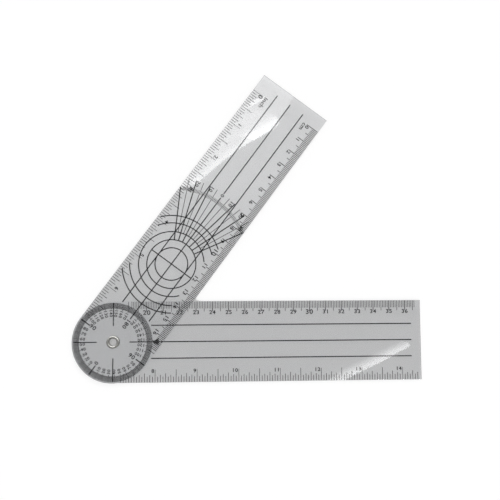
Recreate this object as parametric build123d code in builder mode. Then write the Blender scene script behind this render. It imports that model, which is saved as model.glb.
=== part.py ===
from build123d import *
import os
from math import atan2, cos, degrees, radians, sin

# Angle finder with two clear plastic arms that swing about one hollow eyelet.
# The origin is on the pivot axis at the underside of the pointer arm. +X runs
# along that arm and +Z up. Both arms are one blank, printed differently.

# Sheets
arm_width = 49.1
arm_reach = 189.7            # pivot axis to the square end
sheet_thickness = 1.0
edge_break = 0.1             # the cut edges are barely rounded
ink_thickness = 0.05
air_gap = 0.1                # between the lower arm's ink and the upper arm
opening_angle = 53.6         # between the arms as the tool lies

# Eyelet
hole_radius = 2.25           # clear hole through the eyelet
metal = 0.35
roll_reach = 1.65            # from the clear hole to the roll's rim
roll_height = 0.6
running_clearance = 0.05     # upper arm's hole round the barrel, and under the roll

# Printed lines, as places in an arm's own frame: x from the pivot, y across
line_width = 0.67
cm_mark_width = 0.43
inch_mark_width = 0.26
degree_mark_width = 0.3
guide_spacing = 10.0
guide_start = 22.8
guide_end = 183.8
scale_edge = 24.3            # the marks start just inside the cut edge
inch = 25.4
scale_pivot = 180.0          # the pivot stands at 18 cm of the running scale
inch_pivot = 7 * inch        # and at 7 inches

# Degree dial
dial_outer_radius = 23.8
ten_degree_inner_radius = 19.6
cardinal_inner_radius = 17.2
centre_line_start = 17.2

# Index arrow and cross on the lower arm
cross_inner_radius = 9.8
cross_outer_radius = 23.8
arrow_tip = 23.3
arrow_base = 27.4
arrow_half_width = 2.2

# Circle gauge and angle fan on the upper arm
gauge_centre = 58.8
gauge_ring_radii = (10.0, 15.0)
open_rings = {               # radius, and the points each arc runs between
    20.0: [((71.5, -15.3), (46.3, -15.3))],
    25.4: [((43.8, 21.3), (38.6, -15.5)), ((77.8, -16.5), (73.1, 21.0))],
    30.0: [((38.9, 23.0), (34.8, -17.7)), ((82.8, -17.7), (78.3, 23.0))],
}
fan_step = 5
fan_limit = 30
fan_inner_radius = {"main": 15.0, "between": 20.0}
fan_outer_radius = 54.0
fan_edge = 24.2              # the widest rays stop here, just inside the arm's edge
between_width = 0.35
zero_gap = (109.8, 113.0)    # the centre line leaves room for the fan's zero

# Levels up through the stack
lower_bottom = 0.0
lower_top = lower_bottom + sheet_thickness
upper_bottom = lower_top + ink_thickness + air_gap
upper_top = upper_bottom + sheet_thickness
roll_seat = upper_top + running_clearance
barrel_radius = hole_radius + metal
head_radius = arm_width / 2

lower_face = Plane.XY.offset(lower_top)
lower_base = Plane.XY.offset(lower_bottom)
swing = (cos(radians(opening_angle)), sin(radians(opening_angle)), 0)
upper_face = Plane(origin=(0, 0, upper_top), x_dir=swing)
upper_base = Plane(origin=(0, 0, upper_bottom), x_dir=swing)


def arm_outline(bore_radius):
    """Draws one arm: a round head on the pivot, straight sides and a square end."""
    Circle(head_radius)
    with Locations((arm_reach / 2, 0)):
        Rectangle(arm_reach, arm_width)
    Circle(bore_radius, mode=Mode.SUBTRACT)


def break_edges(sheet):
    """Rounds the outer edges of both faces of a sheet."""
    flat_faces = sheet.faces().filter_by(Axis.Z)
    rims = [face.outer_wire().edges() for face in flat_faces]
    fillet([edge for rim in rims for edge in rim], edge_break)


def bar(x, y_from, y_to, width):
    """Draws a straight mark across the arm at x."""
    with Locations((x, (y_from + y_to) / 2)):
        Rectangle(width, abs(y_to - y_from))


def run(x_from, x_to, y):
    """Draws a printed line along the arm."""
    with Locations(((x_from + x_to) / 2, y)):
        Rectangle(x_to - x_from, line_width)


def ray(centre_x, angle, r_from, r_to, width):
    """Draws a straight mark that points away from a centre on the middle line."""
    middle = (r_from + r_to) / 2
    place = (centre_x + middle * cos(radians(angle)), middle * sin(radians(angle)))
    with Locations(place):
        Rectangle(r_to - r_from, width, rotation=angle)


def full_ring(radius):
    """Draws a whole printed circle about the gauge centre."""
    with BuildSketch(mode=Mode.PRIVATE) as ring:
        with Locations((gauge_centre, 0)):
            Circle(radius + line_width / 2)
            Circle(radius - line_width / 2, mode=Mode.SUBTRACT)
    add(ring.sketch)


def bearing(point):
    """Gives the direction of a point from the gauge centre, in degrees."""
    return degrees(atan2(point[1], point[0] - gauge_centre))


def ring_arc(radius, start_point, end_point):
    """Draws a printed arc about the gauge centre, anticlockwise between two points."""
    start = bearing(start_point)
    sweep = (bearing(end_point) - start) % 360
    with BuildLine() as middle:
        CenterArc((gauge_centre, 0), radius, start, sweep)
    trace(middle.line, line_width)


os.makedirs("parts", exist_ok=True)

# Lower arm, which carries the index arrow. The eyelet's barrel fills its hole.
with BuildPart() as pointer_arm:
    with BuildSketch(lower_base):
        arm_outline(barrel_radius)
    extrude(amount=sheet_thickness)
    break_edges(pointer_arm)
pointer_arm.part.label = "pointer_arm"
export_step(pointer_arm.part, "parts/pointer_arm.step")

# Upper arm, which carries the degree dial and turns on the barrel.
with BuildPart() as dial_arm:
    with BuildSketch(upper_base):
        arm_outline(barrel_radius + running_clearance)
    extrude(amount=sheet_thickness)
    break_edges(dial_arm)
dial_arm.part.label = "dial_arm"
export_step(dial_arm.part, "parts/dial_arm.step")

# Eyelet: a tube whose two ends are rolled outwards over the sheets.
with BuildPart() as pivot_eyelet:
    with BuildSketch(Plane.XZ):
        roll_radius = roll_reach / 2
        rim_radius = hole_radius + roll_reach
        with BuildLine():
            for seat, start in ((roll_seat, 0), (lower_bottom, 180)):
                middle = (hole_radius + roll_radius, seat)
                for inset in (0, metal):
                    EllipticalCenterArc(
                        middle,
                        roll_radius - inset,
                        roll_height - inset,
                        start,
                        arc_size=180,
                    )
                Line((rim_radius - metal, seat), (rim_radius, seat))
            Line((hole_radius, lower_bottom), (hole_radius, roll_seat))
            Line((barrel_radius, lower_bottom), (barrel_radius, roll_seat))
        make_face()
    revolve(axis=Axis.Z)
pivot_eyelet.part.label = "pivot_eyelet"
export_step(pivot_eyelet.part, "parts/pivot_eyelet.step")

# Lower arm: three guide lines. The middle one starts at the arrow's base.
with BuildPart() as pointer_guide_lines:
    with BuildSketch(lower_face):
        run(guide_start, guide_end, guide_spacing)
        run(arrow_base, guide_end, 0)
        run(guide_start, guide_end, -guide_spacing)
    extrude(amount=ink_thickness)
pointer_guide_lines.part.label = "pointer_guide_lines"
export_step(pointer_guide_lines.part, "parts/pointer_guide_lines.step")

# Lower arm: the cross read through the dial, with the arrow on its outer end.
with BuildPart() as pointer_index:
    with BuildSketch(lower_face):
        for angle in (0, 90, 180, 270):
            ray(0, angle, cross_inner_radius, cross_outer_radius, line_width)
        with BuildLine():
            Polyline(
                (arrow_tip, 0),
                (arrow_base, arrow_half_width),
                (arrow_base, -arrow_half_width),
                close=True,
            )
        make_face()
    extrude(amount=ink_thickness)
pointer_index.part.label = "pointer_index"
export_step(pointer_index.part, "parts/pointer_index.step")

# Lower arm: centimetre marks 20 to 36 on one edge, inch marks 8 to 14 on the other.
cm_mark_inner = 18.2
inch_mark_inner = 16.7
with BuildPart() as pointer_cm_marks:
    with BuildSketch(lower_face):
        for mark in range(20, 37):
            bar(10 * mark - scale_pivot, cm_mark_inner, scale_edge, cm_mark_width)
    extrude(amount=ink_thickness)
pointer_cm_marks.part.label = "pointer_cm_marks"
export_step(pointer_cm_marks.part, "parts/pointer_cm_marks.step")

with BuildPart() as pointer_inch_marks:
    with BuildSketch(lower_face):
        for mark in range(8, 15):
            x = inch * mark - inch_pivot
            bar(x, -inch_mark_inner, -scale_edge, inch_mark_width)
    extrude(amount=ink_thickness)
pointer_inch_marks.part.label = "pointer_inch_marks"
export_step(pointer_inch_marks.part, "parts/pointer_inch_marks.step")

# Upper arm: a mark every ten degrees round the dial, longer at the quarters. The
# quarter towards the arm is the end of the middle guide line.
with BuildPart() as dial_degree_marks:
    with BuildSketch(upper_face):
        for angle in range(10, 360, 10):
            if angle % 90 == 0:
                ray(0, angle, cardinal_inner_radius, dial_outer_radius, line_width)
            else:
                ray(0, angle, ten_degree_inner_radius, dial_outer_radius, degree_mark_width)
    extrude(amount=ink_thickness)
dial_degree_marks.part.label = "dial_degree_marks"
export_step(dial_degree_marks.part, "parts/dial_degree_marks.step")

# Upper arm: guide lines, circle gauge, angle fan and the numbered scale marks.
# They cross each other, so they are one film.
single_digit_inner = 15.9    # marks 0 to 9 run in beside their numbers
with BuildPart() as dial_arm_lines:
    with BuildSketch(upper_face):
        run(guide_start, guide_end, guide_spacing)
        run(centre_line_start, zero_gap[0], 0)
        run(zero_gap[1], guide_end, 0)
        run(guide_start, guide_end, -guide_spacing)

        for radius in gauge_ring_radii:
            full_ring(radius)
        bar(gauge_centre, -gauge_ring_radii[1], gauge_ring_radii[1], line_width)
        for radius, ends in open_rings.items():
            for start_point, end_point in ends:
                ring_arc(radius, start_point, end_point)

        for angle in range(-fan_limit, fan_limit + 1, fan_step):
            if angle == 0:
                continue
            kind = "main" if angle % 10 == 0 else "between"
            width = line_width if kind == "main" else between_width
            reach = min(fan_outer_radius, fan_edge / abs(sin(radians(angle))))
            ray(gauge_centre, angle, fan_inner_radius[kind], reach, width)

        for mark in range(0, 17):
            start = single_digit_inner if mark < 10 else cm_mark_inner
            bar(scale_pivot - 10 * mark, -start, -scale_edge, cm_mark_width)
        for mark in range(0, 7):
            x = inch_pivot - inch * mark
            bar(x, inch_mark_inner, scale_edge, inch_mark_width)
    extrude(amount=ink_thickness)
dial_arm_lines.part.label = "dial_arm_lines"
export_step(dial_arm_lines.part, "parts/dial_arm_lines.step")
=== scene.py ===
from math import cos, radians, sin, tau

import bmesh
import bpy
from mathutils import Matrix, Vector


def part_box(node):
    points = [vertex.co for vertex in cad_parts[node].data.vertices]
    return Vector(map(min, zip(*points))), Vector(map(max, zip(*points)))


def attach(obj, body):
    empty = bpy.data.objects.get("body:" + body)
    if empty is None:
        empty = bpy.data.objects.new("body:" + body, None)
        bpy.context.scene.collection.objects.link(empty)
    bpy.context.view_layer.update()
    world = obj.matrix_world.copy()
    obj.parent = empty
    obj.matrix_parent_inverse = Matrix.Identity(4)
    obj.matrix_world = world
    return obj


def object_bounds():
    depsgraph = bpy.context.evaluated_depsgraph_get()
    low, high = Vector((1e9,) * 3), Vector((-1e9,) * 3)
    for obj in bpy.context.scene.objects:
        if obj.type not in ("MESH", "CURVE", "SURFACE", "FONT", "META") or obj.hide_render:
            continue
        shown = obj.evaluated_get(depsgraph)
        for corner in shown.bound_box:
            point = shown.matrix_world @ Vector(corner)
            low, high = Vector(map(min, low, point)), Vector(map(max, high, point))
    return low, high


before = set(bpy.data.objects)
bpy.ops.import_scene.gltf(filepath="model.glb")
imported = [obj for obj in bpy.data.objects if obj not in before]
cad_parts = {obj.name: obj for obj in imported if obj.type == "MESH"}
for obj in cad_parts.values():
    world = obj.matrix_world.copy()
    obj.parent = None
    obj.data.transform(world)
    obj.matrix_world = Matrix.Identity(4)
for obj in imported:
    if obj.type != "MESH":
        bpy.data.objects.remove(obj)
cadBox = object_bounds()
scene = bpy.context.scene
mm = 0.001
inch = 25.4
print("frame loaded:", len(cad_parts), "nodes")


def hexColour(code):
    # sRGB hex to the linear colour that shaders work in
    channels = [int(code[i:i + 2], 16) / 255 for i in (1, 3, 5)]
    linear = [c / 12.92 if c <= 0.04045 else ((c + 0.055) / 1.055) ** 2.4 for c in channels]
    return (*linear, 1.0)


def addNode(tree, kind, inputs=None, **settings):
    # one node, with its settings, and its sockets set or linked by name or number; a
    # node given as a value stands for its first output. A Mix of colours takes them at
    # sockets 6 and 7, and gives its result at 2.
    node = tree.nodes.new(kind)
    for name, value in settings.items():
        setattr(node, name, value)
    for key, value in (inputs or {}).items():
        if isinstance(value, bpy.types.Node):
            value = value.outputs[0]
        if isinstance(value, bpy.types.NodeSocket):
            tree.links.new(value, node.inputs[key])
        else:
            node.inputs[key].default_value = value
    return node


def newMaterial(name):
    material = bpy.data.materials.new(name)
    material.use_nodes = True
    material.node_tree.nodes.clear()
    return material, material.node_tree


# clear PVC sheet: calendered, press-polished and die-cut. Glassy gloss with a faint
# grey cast, slow waves left by the calender rolls, and hairline scratches.
clearSheet = {
    "tint": "#fefeff",
    "tintDeep": "#fbfcfd",
    "mottle": 18.0,              # mm between paler and deeper patches
    "clarity": 0.995,            # the rest is haze
    "ior": 1.53,
    "polish": 0.03,
    "scuffed": 0.07,
    "handled": 9.0,              # mm, size of the scuffed patches
    "scuffing": (0.5, 0.8),      # handling where scuffs begin, and where they are full
    "scuffWear": 0.35,           # how worn full scuffs are, next to a scratch
    "waveLength": 45.0,          # mm, calender waves
    "waveHeight": 0.02,          # mm
    "scratchSpacing": 1.6,       # mm; real hairlines are finer, drawn so that they show
    "scratchStretch": 0.03,      # the pattern's scale along them; less is longer
    "scratchEdge": (0.66, 0.74),  # the pattern's level at a hairline's edge and middle
    "scratchDepth": 0.0005,      # mm
    "scratchLean": (12, -31),    # degrees from the arm's length
}


def clearPvc(name, turn):
    material, tree = newMaterial(name)
    s = clearSheet
    place = addNode(tree, "ShaderNodeTexCoord").outputs["Object"]
    along = addNode(tree, "ShaderNodeMapping", {"Vector": place, "Rotation": (0, 0, -turn)})
    patches = addNode(tree, "ShaderNodeTexNoise", {
        "Vector": along, "Scale": 1 / (s["mottle"] * mm), "Detail": 3.0})
    tint = addNode(tree, "ShaderNodeMix", {
        "Factor": patches, 6: hexColour(s["tint"]), 7: hexColour(s["tintDeep"])}, data_type="RGBA")
    waves = addNode(tree, "ShaderNodeTexNoise", {
        "Vector": along, "Scale": 1 / (s["waveLength"] * mm), "Detail": 1.0})
    scratches = 0.0
    for lean in s["scratchLean"]:
        drawn = addNode(tree, "ShaderNodeMapping", {
            "Vector": along, "Location": (lean, 0, 0), "Rotation": (0, 0, radians(lean)),
            "Scale": (s["scratchStretch"], 1, 1)})
        lines = addNode(tree, "ShaderNodeTexNoise", {
            "Vector": drawn, "Scale": 1 / (s["scratchSpacing"] * mm), "Detail": 4.0,
            "Roughness": 0.7})
        thin = addNode(tree, "ShaderNodeMapRange", {
            "Value": lines, "From Min": s["scratchEdge"][0], "From Max": s["scratchEdge"][1]})
        scratches = addNode(tree, "ShaderNodeMath", {0: scratches, 1: thin}, operation="MAXIMUM")
    handling = addNode(tree, "ShaderNodeTexNoise", {
        "Vector": along, "Scale": 1 / (s["handled"] * mm), "Detail": 4.0})
    scuffs = addNode(tree, "ShaderNodeMapRange", {
        "Value": handling, "From Min": s["scuffing"][0], "From Max": s["scuffing"][1],
        "To Max": s["scuffWear"]})
    wear = addNode(tree, "ShaderNodeMath", {0: scuffs, 1: scratches}, operation="MAXIMUM")
    roughness = addNode(tree, "ShaderNodeMapRange", {
        "Value": wear, "To Min": s["polish"], "To Max": s["scuffed"]})
    rolled = addNode(tree, "ShaderNodeBump", {"Height": waves, "Distance": s["waveHeight"] * mm})
    scored = addNode(tree, "ShaderNodeBump", {
        "Height": scratches, "Distance": s["scratchDepth"] * mm, "Normal": rolled}, invert=True)
    shader = addNode(tree, "ShaderNodeBsdfPrincipled", {
        "Base Color": tint.outputs[2], "Roughness": roughness, "Normal": scored,
        "Transmission Weight": s["clarity"], "IOR": s["ior"]})
    addNode(tree, "ShaderNodeOutputMaterial", {"Surface": shader})
    return material


# screen-printed solvent ink: a thin near-black film with a clear gloss over it, and
# faint pinholes and mottling from the mesh.
screenInk = {
    "ink": "#141518",
    "thin": "#26272b",
    "mesh": 0.4,        # mm, coarser than the real mesh so that it shows
    "meshDepth": 0.003,  # mm
    "mottle": 2.5,      # mm
    "gloss": 0.12,
    "dull": 0.35,
    "dulling": (0.35, 0.75),  # the mottle's level where it begins to dull, and where it is dull
    "ior": 1.5,
    "varnish": 1.0,     # clear coat over the print
    "varnishGloss": 0.04,
}


def screenPrintedInk(name):
    material, tree = newMaterial(name)
    s = screenInk
    place = addNode(tree, "ShaderNodeTexCoord").outputs["Object"]
    mottle = addNode(tree, "ShaderNodeTexNoise", {
        "Vector": place, "Scale": 1 / (s["mottle"] * mm), "Detail": 3.0})
    mesh = addNode(tree, "ShaderNodeTexVoronoi", {"Vector": place, "Scale": 1 / (s["mesh"] * mm)})
    thinned = addNode(tree, "ShaderNodeMath", {
        0: mottle, 1: mesh.outputs["Distance"]}, operation="MULTIPLY")
    colour = addNode(tree, "ShaderNodeMix", {
        "Factor": thinned, 6: hexColour(s["ink"]), 7: hexColour(s["thin"])}, data_type="RGBA")
    roughness = addNode(tree, "ShaderNodeMapRange", {
        "Value": mottle, "From Min": s["dulling"][0], "From Max": s["dulling"][1],
        "To Min": s["gloss"], "To Max": s["dull"]})
    bump = addNode(tree, "ShaderNodeBump", {
        "Height": mesh.outputs["Distance"], "Distance": s["meshDepth"] * mm})
    shader = addNode(tree, "ShaderNodeBsdfPrincipled", {
        "Base Color": colour.outputs[2], "Roughness": roughness, "Normal": bump, "IOR": s["ior"],
        "Coat Weight": s["varnish"], "Coat Roughness": s["varnishGloss"]})
    addNode(tree, "ShaderNodeOutputMaterial", {"Surface": shader})
    return material


# nickel-plated brass: rolled over by a die, so it shines, with fine rings left by the
# roll. Tarnish spots it at random, and painted shade darkens it low down, where it turns in to the
# sheet and the bore.
nickel = {
    "plate": "#e4e4df",
    # the dark colour of the tarnish spots, and of the painted shade at the foot and in the bore
    "tarnishAndShade": "#4a463d",
    "bright": 0.12,
    "dull": 0.4,
    "ring": 0.22,           # mm between the roll's rings
    "ringDepth": 0.006,     # mm
    "blotch": 1.2,          # mm
    "spotting": (0.5, 0.8),  # the blotches' level where a spot begins, and where it is full
    "foot": (3.72, 4.0),    # mm from the axis: no painted shade inside the first, full painted shade outside the second
    "bore": (2.6, 2.3),     # and the same the other way, into the bore
    "borePaintedShade": 0.45,    # how dark the painted shade gets there
}


def nickelPlatedBrass(name):
    material, tree = newMaterial(name)
    s = nickel
    place = addNode(tree, "ShaderNodeTexCoord").outputs["Object"]
    flat = addNode(tree, "ShaderNodeVectorMath", {0: place, 1: (1, 1, 0)}, operation="MULTIPLY")
    radius = addNode(tree, "ShaderNodeVectorMath", {0: flat}, operation="LENGTH").outputs["Value"]
    rings = addNode(tree, "ShaderNodeMath", {
        0: radius, 1: tau / (s["ring"] * mm)}, operation="MULTIPLY")
    ringWave = addNode(tree, "ShaderNodeMath", {0: rings}, operation="SINE")
    # painted shade: the foot of the roll and the mouth of the bore are darkened by their distance
    # from the axis
    foot = addNode(tree, "ShaderNodeMapRange", {
        "Value": radius, "From Min": s["foot"][0] * mm, "From Max": s["foot"][1] * mm})
    bore = addNode(tree, "ShaderNodeMapRange", {
        "Value": radius, "From Min": s["bore"][0] * mm, "From Max": s["bore"][1] * mm,
        "To Max": s["borePaintedShade"]})
    low = addNode(tree, "ShaderNodeMath", {0: foot, 1: bore}, operation="MAXIMUM")
    blotches = addNode(tree, "ShaderNodeTexNoise", {
        "Vector": place, "Scale": 1 / (s["blotch"] * mm), "Detail": 5.0})
    spots = addNode(tree, "ShaderNodeMapRange", {
        "Value": blotches, "From Min": s["spotting"][0], "From Max": s["spotting"][1]})
    # tarnish spots and the painted shade together darken and dull the plate
    spotsAndShade = addNode(tree, "ShaderNodeMath", {0: low, 1: spots}, operation="MAXIMUM")
    colour = addNode(tree, "ShaderNodeMix", {
        "Factor": spotsAndShade, 6: hexColour(s["plate"]), 7: hexColour(s["tarnishAndShade"])}, data_type="RGBA")
    roughness = addNode(tree, "ShaderNodeMapRange", {
        "Value": spotsAndShade, "To Min": s["bright"], "To Max": s["dull"]})
    bump = addNode(tree, "ShaderNodeBump", {"Height": ringWave, "Distance": s["ringDepth"] * mm})
    shader = addNode(tree, "ShaderNodeBsdfPrincipled", {
        "Base Color": colour.outputs[2], "Roughness": roughness, "Normal": bump, "Metallic": 1.0})
    addNode(tree, "ShaderNodeOutputMaterial", {"Surface": shader})
    return material


opening = radians(53.6)  # from the pointer arm to the dial arm, at rest
inkBlack = screenPrintedInk("Screen ink, black")
finishes = {
    "pointer_arm": clearPvc("Clear PVC sheet, pointer arm", 0),
    "dial_arm": clearPvc("Clear PVC sheet, dial arm", opening),
    "pivot_eyelet": nickelPlatedBrass("Nickel-plated brass, rolled"),
}
for node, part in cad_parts.items():
    for slot in part.material_slots:
        slot.material = finishes.get(node, inkBlack)
print("materials made")

# the two arms, as the places that prints are put on
arms = {
    "pointer": {"body": "pointer_side", "film": "pointer_guide_lines", "turn": 0.0},
    "dial": {"body": "dial_side", "film": "dial_arm_lines", "turn": opening},
}
for arm in arms.values():
    low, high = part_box(arm["film"])
    arm["place"] = Matrix.Translation((0, 0, low.z)) @ Matrix.Rotation(arm["turn"], 4, "Z")
    arm["inkHeight"] = high.z - low.z


def printOn(name, mesh, arm):
    # puts a print made flat in an arm's own frame in its place on that arm
    mesh.transform(arms[arm]["place"])
    printed = bpy.data.objects.new(name, mesh)
    scene.collection.objects.link(printed)
    mesh.materials.clear()
    mesh.materials.append(inkBlack)
    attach(printed, arms[arm]["body"])


def newGeometryTree(name, fields):
    # a Geometry Nodes tree with named inputs, their identifiers and their sockets inside
    tree = bpy.data.node_groups.new(name, "GeometryNodeTree")
    tree.interface.new_socket("Geometry", in_out="OUTPUT", socket_type="NodeSocketGeometry")
    ids = {}
    for label, kind in fields.items():
        socket = tree.interface.new_socket(label, in_out="INPUT", socket_type="NodeSocket" + kind)
        ids[label] = socket.identifier
    return tree, ids, tree.nodes.new("NodeGroupInput").outputs


def setMarks(tree, get, spots, leftOut, blank, socket, value):
    # one blank on each spot that isn't left out, scaled or turned by a value of its own,
    # which is kept on the points because deleting some renumbers the rest
    row = addNode(tree, "GeometryNodeMeshLine", {"Count": get["Count"]})
    placed = addNode(tree, "GeometryNodeSetPosition", {"Geometry": row, "Position": spots})
    measured = addNode(tree, "GeometryNodeStoreNamedAttribute", {
        "Geometry": placed, "Name": "own", "Value": value}, data_type="FLOAT_VECTOR")
    kept = addNode(tree, "GeometryNodeDeleteGeometry", {0: measured, 1: leftOut})
    own = addNode(tree, "GeometryNodeInputNamedAttribute", {
        "Name": "own"}, data_type="FLOAT_VECTOR")
    marks = addNode(tree, "GeometryNodeInstanceOnPoints", {
        "Points": kept, "Instance": blank, socket: own})
    real = addNode(tree, "GeometryNodeRealizeInstances", {0: marks})
    inked = addNode(tree, "GeometryNodeSetMaterial", {
        "Geometry": real, "Material": get["Material"]})
    addNode(tree, "NodeGroupOutput", {0: inked})


def meshFromTree(name, treeAndIds, values):
    # runs a tree once and keeps its result as a plain mesh
    tree, ids = treeAndIds
    holder = bpy.data.objects.new(name + "_holder", bpy.data.meshes.new(name + "_empty"))
    scene.collection.objects.link(holder)
    modifier = holder.modifiers.new("marks", "NODES")
    modifier.node_group = tree
    for label, value in values.items():
        modifier[ids[label]] = value
    modifier[ids["Material"]] = inkBlack
    ready = holder.evaluated_get(bpy.context.evaluated_depsgraph_get())
    mesh = bpy.data.meshes.new_from_object(ready)
    mesh.name = name
    holder.modifiers.remove(modifier)
    bpy.data.objects.remove(holder)
    return mesh


# straight scales: one tree rules a row of marks along an arm's edge, longer ones at
# coarser divisions. The numbered marks are CAD solids, so they are left out.
def ruledMarksTree():
    tree, ids, get = newGeometryTree("Ruled marks", {
        "First": "Float", "Spacing": "Float", "Count": "Int", "Offset": "Int",
        "Numbered Every": "Int", "Half Every": "Int", "Quarter Every": "Int", "Eighth Every": "Int",
        "Half Length": "Float", "Quarter Length": "Float", "Eighth Length": "Float",
        "Short Length": "Float", "Edge": "Float", "Side": "Float", "Width": "Float",
        "Film": "Float", "Material": "Material"})
    index = addNode(tree, "GeometryNodeInputIndex")
    number = addNode(tree, "ShaderNodeMath", {0: index, 1: get["Offset"]}, operation="ADD")
    isMultiple = {}
    for label in ("Numbered", "Half", "Quarter", "Eighth"):
        rest = addNode(tree, "ShaderNodeMath", {
            0: number, 1: get[label + " Every"]}, operation="FLOORED_MODULO")
        isMultiple[label] = addNode(tree, "FunctionNodeCompare", {
            0: rest, 1: 0.5}, operation="LESS_THAN")
    length = get["Short Length"]
    for label in ("Eighth", "Quarter", "Half"):
        length = addNode(tree, "GeometryNodeSwitch", {
            0: isMultiple[label], 1: length, 2: get[label + " Length"]}, input_type="FLOAT")
    x = addNode(tree, "ShaderNodeMath", {
        0: number, 1: get["Spacing"], 2: get["First"]}, operation="MULTIPLY_ADD")
    middle = addNode(tree, "ShaderNodeMath", {
        0: length, 1: -0.5, 2: get["Edge"]}, operation="MULTIPLY_ADD")
    y = addNode(tree, "ShaderNodeMath", {0: middle, 1: get["Side"]}, operation="MULTIPLY")
    lift = addNode(tree, "ShaderNodeMath", {0: get["Film"], 1: 0.5}, operation="MULTIPLY")
    spots = addNode(tree, "ShaderNodeCombineXYZ", {0: x, 1: y, 2: lift})
    size = addNode(tree, "ShaderNodeCombineXYZ", {0: get["Width"], 1: length, 2: get["Film"]})
    blank = addNode(tree, "GeometryNodeMeshCube", {"Size": (1, 1, 1)})
    setMarks(tree, get, spots, isMultiple["Numbered"], blank, "Scale", size)
    return tree, ids


ruledMarks = ruledMarksTree()

scaleEdge = 24.3  # mm from the middle line to the marks' outer ends
divisions = {
    # mm apart, the pivot's place on the scale, and how often and how long the marks are
    "millimetres": {
        "apart": 1.0, "pivotAt": 180,
        "every": {"Numbered": 10, "Half": 5, "Quarter": 5, "Eighth": 5},
        "length": {"Half": 6.1, "Quarter": 6.1, "Eighth": 6.1, "Short": 4.3}},
    "sixteenths": {
        "apart": inch / 16, "pivotAt": 112,
        "every": {"Numbered": 16, "Half": 8, "Quarter": 4, "Eighth": 2},
        "length": {"Half": 7.6, "Quarter": 5.3, "Eighth": 4.3, "Short": 3.3}},
}
# each row: the arm, its kind of marks and their width in mm, which edge, which way it
# counts from the pivot, and how far it runs, in divisions from the scale's zero
rulings = {
    "pointer_mm_marks": ("pointer", "millimetres", 0.29, 1, 1, 189, 366),
    "pointer_sixteenth_marks": ("pointer", "sixteenths", 0.32, -1, 1, 115, 230),
    "dial_mm_marks": ("dial", "millimetres", 0.36, -1, -1, 0, 171),
    "dial_sixteenth_marks": ("dial", "sixteenths", 0.31, 1, -1, 0, 109),
}
for name, (arm, kind, width, side, way, start, end) in rulings.items():
    marks = divisions[kind]
    values = {
        "First": -way * marks["pivotAt"] * marks["apart"] * mm,
        "Spacing": way * marks["apart"] * mm, "Count": end - start + 1, "Offset": start,
        "Edge": scaleEdge * mm, "Side": float(side), "Width": width * mm,
        "Film": arms[arm]["inkHeight"]}
    values.update({label + " Every": every for label, every in marks["every"].items()})
    values.update({label + " Length": length * mm for label, length in marks["length"].items()})
    printOn(name, meshFromTree(name, ruledMarks, values), arm)
print("straight scales ruled")


# degree rings: one tree sets marks round a centre on the middle line
def ringMarksTree():
    tree, ids, get = newGeometryTree("Ring marks", {
        "Centre": "Float", "First Angle": "Float", "Step": "Float", "Count": "Int",
        "Leave Out Every": "Int", "Inner Radius": "Float", "Outer Radius": "Float",
        "Width": "Float", "Film": "Float", "Material": "Material"})
    index = addNode(tree, "GeometryNodeInputIndex")
    angle = addNode(tree, "ShaderNodeMath", {
        0: index, 1: get["Step"], 2: get["First Angle"]}, operation="MULTIPLY_ADD")
    length = addNode(tree, "ShaderNodeMath", {
        0: get["Outer Radius"], 1: get["Inner Radius"]}, operation="SUBTRACT")
    middle = addNode(tree, "ShaderNodeMath", {
        0: length, 1: 0.5, 2: get["Inner Radius"]}, operation="MULTIPLY_ADD")
    cosine = addNode(tree, "ShaderNodeMath", {0: angle}, operation="COSINE")
    sine = addNode(tree, "ShaderNodeMath", {0: angle}, operation="SINE")
    x = addNode(tree, "ShaderNodeMath", {
        0: cosine, 1: middle, 2: get["Centre"]}, operation="MULTIPLY_ADD")
    y = addNode(tree, "ShaderNodeMath", {0: sine, 1: middle}, operation="MULTIPLY")
    lift = addNode(tree, "ShaderNodeMath", {0: get["Film"], 1: 0.5}, operation="MULTIPLY")
    spots = addNode(tree, "ShaderNodeCombineXYZ", {0: x, 1: y, 2: lift})
    facing = addNode(tree, "ShaderNodeCombineXYZ", {2: angle})
    rest = addNode(tree, "ShaderNodeMath", {
        0: index, 1: get["Leave Out Every"]}, operation="FLOORED_MODULO")
    leftOut = addNode(tree, "FunctionNodeCompare", {0: rest, 1: 0.5}, operation="LESS_THAN")
    size = addNode(tree, "ShaderNodeCombineXYZ", {0: length, 1: get["Width"], 2: get["Film"]})
    blank = addNode(tree, "GeometryNodeMeshCube", {"Size": size})
    setMarks(tree, get, spots, leftOut, blank, "Rotation", facing)
    return tree, ids


ringMarks = ringMarksTree()

rings = {  # millimetres and degrees; marks that the solid prints have are left out
    "dial_single_degree_marks": {
        "centre": 0.0, "first": 0, "count": 360, "leaveOut": 10,
        "inner": 20.3, "outer": 23.8, "width": 0.25},
    "fan_degree_marks": {
        "centre": 58.8, "first": -30, "count": 61, "leaveOut": 5,
        "inner": 46.4, "outer": 48.8, "width": 0.3},
}
for name, ring in rings.items():
    mesh = meshFromTree(name, ringMarks, {
        "Centre": ring["centre"] * mm, "First Angle": radians(ring["first"]), "Step": radians(1),
        "Count": ring["count"], "Leave Out Every": ring["leaveOut"],
        "Inner Radius": ring["inner"] * mm, "Outer Radius": ring["outer"] * mm,
        "Width": ring["width"] * mm, "Film": arms["dial"]["inkHeight"]})
    printOn(name, mesh, "dial")
print("degree rings set")

# numbers: plain sans figures, cut as closed shapes as thick as the ink
lettering = {
    "bold": 0.022,          # how far the outlines grow, in the font's own size
    "stretch": 1.12,        # width to height, next to the font's
    "spacing": 1.12,
    "curveSteps": 3,
    "weld": 1e-7,           # m between points that become one
}


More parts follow.
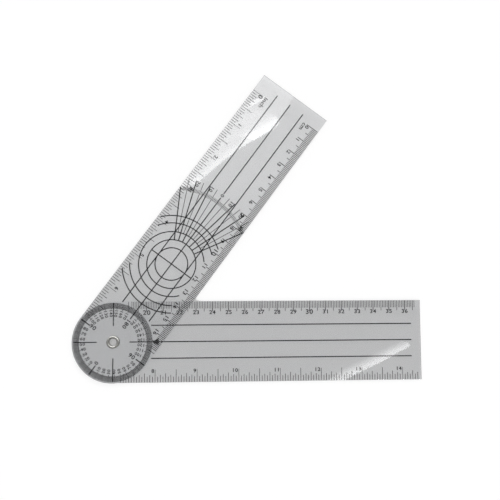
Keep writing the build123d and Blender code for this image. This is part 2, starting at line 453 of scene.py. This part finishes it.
def wordShape(text):
    # a word in the font's own size, as a closed mesh 1 thick
    curve = bpy.data.curves.new("figures", "FONT")
    curve.body = text
    curve.resolution_u = lettering["curveSteps"]
    curve.offset = lettering["bold"]
    curve.space_character = lettering["spacing"]
    curve.extrude = 0.5  # to each side
    holder = bpy.data.objects.new("figures", curve)
    scene.collection.objects.link(holder)
    ready = holder.evaluated_get(bpy.context.evaluated_depsgraph_get())
    mesh = bpy.data.meshes.new_from_object(ready)
    bpy.data.objects.remove(holder)
    bpy.data.curves.remove(curve)
    return mesh


def extent(mesh, axis):
    places = [v.co[axis] for v in mesh.vertices]
    return min(places), max(places)


def wordMesh(text, height, inkHeight):
    # a word centred on its place, with the height of its figures in mm
    mesh = wordShape(text)
    (left, right), (bottom, top), (under, over) = [extent(mesh, axis) for axis in range(3)]
    base = Vector(((left + right) / 2, (bottom + top) / 2, under))
    scale = height * mm / figureHeight
    sized = Matrix.Diagonal((scale * lettering["stretch"], scale, inkHeight / (over - under), 1))
    mesh.transform(sized @ Matrix.Translation(-base))
    return mesh


def writeOn(name, arm, words):
    # words: text, x, y, turn in degrees, height; all in one mesh
    joined = bmesh.new()
    for text, x, y, turn, height in words:
        mesh = wordMesh(text, height, arms[arm]["inkHeight"])
        place = Matrix.Translation((x * mm, y * mm, 0))
        mesh.transform(place @ Matrix.Rotation(radians(turn), 4, "Z"))
        joined.from_mesh(mesh)
        bpy.data.meshes.remove(mesh)
    bmesh.ops.remove_doubles(joined, verts=joined.verts, dist=lettering["weld"])
    bmesh.ops.recalc_face_normals(joined, faces=joined.faces)
    mesh = bpy.data.meshes.new(name)
    joined.to_mesh(mesh)
    joined.free()
    printOn(name, mesh, arm)


probe = wordShape("8")
bottom, top = extent(probe, 1)
figureHeight = top - bottom
bpy.data.meshes.remove(probe)

# rows of numbers: which, mm apart, the number where the pivot stands and the way they
# count. A number's middle is off its mark by the first of "place" along the arm, and
# lies at the second across it, by how many figures it has.
numberRows = {
    "pointer_cm_numbers": {
        "arm": "pointer", "numbers": range(20, 37), "apart": 10, "pivotAt": 18, "way": 1,
        "turn": 0, "height": 2.5, "tall": (20, 30), "tallHeight": 2.9,
        "place": {2: (0, 17.7)}},
    "pointer_inch_numbers": {
        "arm": "pointer", "numbers": range(8, 15), "apart": inch, "pivotAt": 7, "way": 1,
        "turn": 0, "height": 2.3,
        "place": {1: (-1.4, -17.6), 2: (-2.1, -17.6)}},
    "dial_cm_numbers": {
        "arm": "dial", "numbers": range(0, 17), "apart": 10, "pivotAt": 18, "way": -1,
        "turn": 180, "height": 2.5, "tall": (10,), "tallHeight": 2.9,
        "place": {1: (-1.4, -16.8), 2: (0, -17.2)}},
    "dial_inch_numbers": {
        "arm": "dial", "numbers": range(0, 7), "apart": inch, "pivotAt": 7, "way": -1,
        "turn": 180, "height": 2.5, "tall": (0,), "tallHeight": 2.9,
        "place": {1: (1.8, 17.8)}, "zeroPlace": (-1.1, 18.2)},
}
for name, row in numberRows.items():
    words = []
    for number in row["numbers"]:
        shift, y = row["place"][len(str(number))]
        if number == 0:
            shift, y = row.get("zeroPlace", (shift, y))
        x = row["way"] * row["apart"] * (number - row["pivotAt"]) + shift
        height = row["tallHeight"] if number in row.get("tall", ()) else row["height"]
        words.append((str(number), x, y, row["turn"], height))
    writeOn(name, row["arm"], words)

unitWords = {"height": 2.7, "turn": 180, "places": {"inch": (174.7, 14.5), "cm": (177.4, -14.0)}}
writeOn("dial_unit_words", "dial", [
    (unit, *place, unitWords["turn"], unitWords["height"])
    for unit, place in unitWords["places"].items()])

# the dial counts both ways from its zero, which points away from the arm
dialNumbers = {
    "small": 1.85,      # mm, height of the numbers between the quarters
    "rim": 19.5,        # mm from the pivot to their outer ends
    "pitch": 1.6,       # mm from figure to figure
    "rise": 0.25,       # mm that they are printed off the middle
    "quarters": [       # text, x, y, turn, height
        ("0", -15.6, 0.5, 180, 2.4), ("90", 0.3, 15.2, -90, 2.6),
        ("90", 0, -14.2, -90, 2.6), ("180", 13.3, 0, 180, 2.6)],
}
words = list(dialNumbers["quarters"])
for angle in range(10, 360, 10):
    if angle % 90 == 0:
        continue
    value = str(180 - min(angle, 360 - angle))
    radius = dialNumbers["rim"] - dialNumbers["pitch"] * len(value) / 2
    x = radius * cos(radians(angle))
    y = radius * sin(radians(angle)) + dialNumbers["rise"]
    words.append((value, x, y, angle + 180, dialNumbers["small"]))
writeOn("dial_degree_numbers", "dial", words)

fanNumbers = {"height": 2.3, "turn": 180, "places": [
    ("0", 111.5, 0), ("10", 110.5, 7.7), ("10", 110.2, -7.4), ("20", 108.3, 16.7),
    ("20", 108.3, -16.8), ("30", 103.2, 18.5), ("30", 101.8, -21.3)]}
writeOn("fan_numbers", "dial", [
    (text, x, y, fanNumbers["turn"], fanNumbers["height"]) for text, x, y in fanNumbers["places"]])
print("numbers written")

# stage: a white board under the tool with a painted shadow under the sheets, white all
# round, one soft key light, and windows overhead whose mirror images lie on the polished arms
stage = {
    "board": "#818181",
    "boardSize": 6.0,           # m
    "boardGlow": 0.805,         # what the board needs on top of its light to be seen white
    "underGlow": 0.41,          # the same where the sheets lie over it, lower: a painted shadow
    "climb": 0.148,             # painted light: the board under the sheets pales towards +Y,
    "climbRun": (0.016, 0.1),   # m, from the first place to the second
    "reach": 6.0,               # mm, how far the sheets shade the board
    "feelers": 16,              # how many ways the board looks for them
    "boreShade": 0.11,          # painted shade: what the board loses down the eyelet's bore
    "covered": 0.05,            # openness to the sky under a sheet
    "shaded": 0.37,             # down the bore
    "clear": 0.5,               # and outside
    "farWall": 2.2,             # what gloss mirrors: a bright wall on one side,
    "nearWall": 0.06,           # a dark one on the other,
    "zenith": 0.35,             # a dim ceiling
    "skirting": 0.6,            # and an even grey low down
    "wallSide": (0.1, 0.995, 0.0),  # the way to the bright wall
    "wallFade": (0.0, 0.65),    # how far towards it the dark wall ends and it is full
    "wallFoot": (0.2, 0.4),     # the same going up, from the low grey to the walls
    "ceilingFade": (0.68, 0.91),  # and from the walls to the ceiling
    "surround": 0.7,            # the light on the object from all round
    "key": 1.0,
    "keyTurn": (48, 0, 150),    # degrees
    "keySoftness": 20.0,        # degrees that it spans
}


def whereSeen(tree):
    # 1 for what the camera sees, straight, mirrored or through the sheets
    path = addNode(tree, "ShaderNodeLightPath").outputs
    direct = addNode(tree, "ShaderNodeMath", {
        0: path["Is Camera Ray"], 1: path["Is Glossy Ray"]}, operation="MAXIMUM")
    return addNode(tree, "ShaderNodeMath", {
        0: direct, 1: path["Is Transmission Ray"]}, operation="MAXIMUM")


def whiteBoard():
    material, tree = newMaterial("White board")
    s = stage
    place = addNode(tree, "ShaderNodeTexCoord").outputs["Object"]
    y = addNode(tree, "ShaderNodeSeparateXYZ", {0: place}).outputs["Y"]
    # painted shadow and light: under the sheets the board glows less, and more towards +Y
    under = addNode(tree, "ShaderNodeMapRange", {
        "Value": y, "From Min": s["climbRun"][0], "From Max": s["climbRun"][1],
        "To Min": s["underGlow"], "To Max": s["underGlow"] + s["climb"]})
    around = addNode(tree, "ShaderNodeAmbientOcclusion", {
        "Distance": s["reach"] * mm}, samples=s["feelers"])
    # seen through a sheet, the board counts as covered, and so takes the painted shadow
    path = addNode(tree, "ShaderNodeLightPath").outputs
    straight = addNode(tree, "ShaderNodeMath", {
        0: 1.0, 1: path["Is Transmission Ray"]}, operation="SUBTRACT")
    openness = addNode(tree, "ShaderNodeMath", {
        0: around.outputs["AO"], 1: straight}, operation="MULTIPLY")
    dip = addNode(tree, "ShaderNodeMapRange", {
        "Value": openness, "From Min": s["covered"], "From Max": s["shaded"],
        "To Max": s["boreShade"]})
    # painted shade down the eyelet's bore
    down = addNode(tree, "ShaderNodeMath", {0: under, 1: dip}, operation="SUBTRACT")
    level = addNode(tree, "ShaderNodeMapRange", {
        "Value": openness, "From Min": s["shaded"], "From Max": s["clear"],
        "To Min": down, "To Max": s["boardGlow"]})
    strength = addNode(tree, "ShaderNodeMath", {0: whereSeen(tree), 1: level}, operation="MULTIPLY")
    paper = addNode(tree, "ShaderNodeBsdfDiffuse", {"Color": hexColour(s["board"])})
    glow = addNode(tree, "ShaderNodeEmission", {"Strength": strength})
    both = addNode(tree, "ShaderNodeAddShader", {0: paper, 1: glow})
    addNode(tree, "ShaderNodeOutputMaterial", {"Surface": both})
    return material


def stageMesh(name, corners, material):
    mesh = bpy.data.meshes.new(name)
    mesh.from_pydata(corners, [], [range(len(corners))])
    mesh.materials.append(material)
    piece = bpy.data.objects.new(name, mesh)
    scene.collection.objects.link(piece)
    return piece


half = stage["boardSize"] / 2
boardCorners = [(x * half, y * half, cadBox[0][2]) for x, y in ((-1, -1), (1, -1), (1, 1), (-1, 1))]
stageMesh("board", boardCorners, whiteBoard())


def whiteSurround():
    # white to the camera, walls and a ceiling to gloss, and an even light to the rest
    world = bpy.data.worlds.new("White surround")
    world.use_nodes = True
    tree = world.node_tree
    tree.nodes.clear()
    s = stage
    path = addNode(tree, "ShaderNodeLightPath").outputs
    direction = addNode(tree, "ShaderNodeTexCoord").outputs["Generated"]
    up = addNode(tree, "ShaderNodeSeparateXYZ", {0: direction}).outputs["Z"]
    aside = addNode(tree, "ShaderNodeVectorMath", {
        0: direction, 1: s["wallSide"]}, operation="DOT_PRODUCT").outputs["Value"]
    walls = addNode(tree, "ShaderNodeMapRange", {
        "Value": aside, "From Min": s["wallFade"][0], "From Max": s["wallFade"][1],
        "To Min": s["nearWall"], "To Max": s["farWall"]})
    standing = addNode(tree, "ShaderNodeMapRange", {
        "Value": up, "From Min": s["wallFoot"][0], "From Max": s["wallFoot"][1],
        "To Min": s["skirting"], "To Max": walls})
    ceiling = addNode(tree, "ShaderNodeMapRange", {
        "Value": up, "From Min": s["ceilingFade"][0], "From Max": s["ceilingFade"][1],
        "To Min": standing, "To Max": s["zenith"]})
    mirrored = addNode(tree, "ShaderNodeMath", {
        0: path["Is Glossy Ray"], 1: path["Is Transmission Ray"]}, operation="MAXIMUM")
    dimmed = addNode(tree, "ShaderNodeMapRange", {
        "Value": mirrored, "To Min": s["surround"], "To Max": ceiling})
    level = addNode(tree, "ShaderNodeMapRange", {
        "Value": path["Is Camera Ray"], "To Min": dimmed, "To Max": 1.0})
    sky = addNode(tree, "ShaderNodeBackground", {"Color": (1, 1, 1, 1), "Strength": level})
    addNode(tree, "ShaderNodeOutputWorld", {"Surface": sky})
    return world


scene.world = whiteSurround()

key = bpy.data.lights.new("key", "SUN")
key.energy = stage["key"]
key.angle = radians(stage["keySoftness"])
keyObject = bpy.data.objects.new("key", key)
keyObject.rotation_euler = [radians(a) for a in stage["keyTurn"]]
keyObject.visible_glossy = False  # its round image would whiten a whole arm in some views
scene.collection.objects.link(keyObject)

cameraSettings = {
    "place": (69.2, 35.4, 310.9),            # mm
    "turn": (3.8035, -2.5899, -0.2126),      # degrees
    "lens": 36.0, "sensor": 36.0,            # mm
    "nearest": 10,                           # mm
}
lens = bpy.data.cameras.new("camera")
lens.lens = cameraSettings["lens"]
lens.sensor_width = cameraSettings["sensor"]
lens.clip_start = cameraSettings["nearest"] * mm
camera = bpy.data.objects.new("camera", lens)
camera.location = Vector(cameraSettings["place"]) * mm
camera.rotation_euler = [radians(a) for a in cameraSettings["turn"]]
scene.collection.objects.link(camera)
scene.camera = camera

# windows: each outline is where its mirror image lies on an arm, in that arm's own mm, and the pane
# hangs where the camera sees it mirrored there. The camera, matt surfaces and shadows don't
# see them. A pane glows over what lies behind it, and its glow fades from one place to another.
glareEdge = (
    (107, 17.5), (120, 15), (130, 12.5), (140, 9.8), (150, 6), (157, 3), (165, -0.5), (170, -1.4))
windows = {
    "streak": {
        "arm": "pointer", "height": 60, "strength": 3.7, "fade": ((157.6, -16.3), (154.7, -10)),
        "image": (
            (130, -25.5), (139.2, -25.5), (149.2, -20.8), (158.3, -16.6), (166.3, -13),
            (172.3, -9.6), (178.3, -6.6), (183, -3.9), (182, -1.8), (175.6, -0.8), (172, -1.8),
            (167, -4.6), (161, -7.7), (154, -10.9), (146, -14.9), (139, -18.7))},
    "sheen": {
        "arm": "dial", "height": 401, "strength": 1.35,
        "image": ((97, 26), *glareEdge, (182, 1), (192, 2), (192, 26))},
    "pane": {
        "arm": "dial", "height": 400, "strength": 1.0, "fade": ((166, 8), (177, 10)),
        "image": ((97, 26), *glareEdge, (178, 8), (178, 26))},
    "rim": {
        "arm": "dial", "height": 90, "strength": 1.6, "fade": ((130, 12.5), (131.2, 17.2)),
        "image": (
            *glareEdge[:6], (158, 9), (150, 13), (140, 16), (130, 18.5), (120, 21), (107, 23.5))},
    "lamp": {
        "arm": "dial", "height": 80, "strength": 2.8, "fade": ((162, 1), (165.7, 11.2)),
        "image": ((152, 5.1), *glareEdge[5:], (172.5, 2), (172, 8), (168, 16), (146, 18))},
    "gap": {
        "arm": "dial", "height": 90, "strength": 2.4, "fade": ((170, 18.4), (168, 24)),
        "image": ((160, 25), (166, 20.5), (178, 15), (178.5, 17), (171, 21), (165, 25))},
}
eye = camera.location


def hungOver(window, x, y):
    # where the camera sees a pane mirrored at a place on an arm
    spot = arms[window["arm"]]["place"] @ Vector((x * mm, y * mm, 0))
    height = window["height"] * mm
    away = (spot - eye) * (height / (eye.z - spot.z))
    return Vector((spot.x + away.x, spot.y + away.y, spot.z + height))


def windowLight(name, window):
    material, tree = newMaterial(name)
    glow = window["strength"]
    if "fade" in window:
        start, end = [hungOver(window, x, y) for x, y in window["fade"]]
        way = end - start
        place = addNode(tree, "ShaderNodeTexCoord").outputs["Object"]
        past = addNode(tree, "ShaderNodeVectorMath", {0: place, 1: start}, operation="SUBTRACT")
        share = addNode(tree, "ShaderNodeVectorMath", {
            0: past, 1: way / way.length_squared}, operation="DOT_PRODUCT").outputs["Value"]
        glow = addNode(tree, "ShaderNodeMapRange", {
            "Value": share, "To Min": glow, "To Max": 0.0}, interpolation_type="SMOOTHSTEP")
    light = addNode(tree, "ShaderNodeEmission", {"Strength": glow})
    clear = addNode(tree, "ShaderNodeBsdfTransparent")
    both = addNode(tree, "ShaderNodeAddShader", {0: light, 1: clear})
    addNode(tree, "ShaderNodeOutputMaterial", {"Surface": both})
    return material


for name, window in windows.items():
    corners = [hungOver(window, x, y) for x, y in window["image"]]
    pane = stageMesh("window_" + name, corners, windowLight("Window, " + name, window))
    pane.visible_camera = False
    pane.visible_diffuse = False
    pane.visible_shadow = False
scene.view_settings.view_transform = "Standard"
print("stage set")
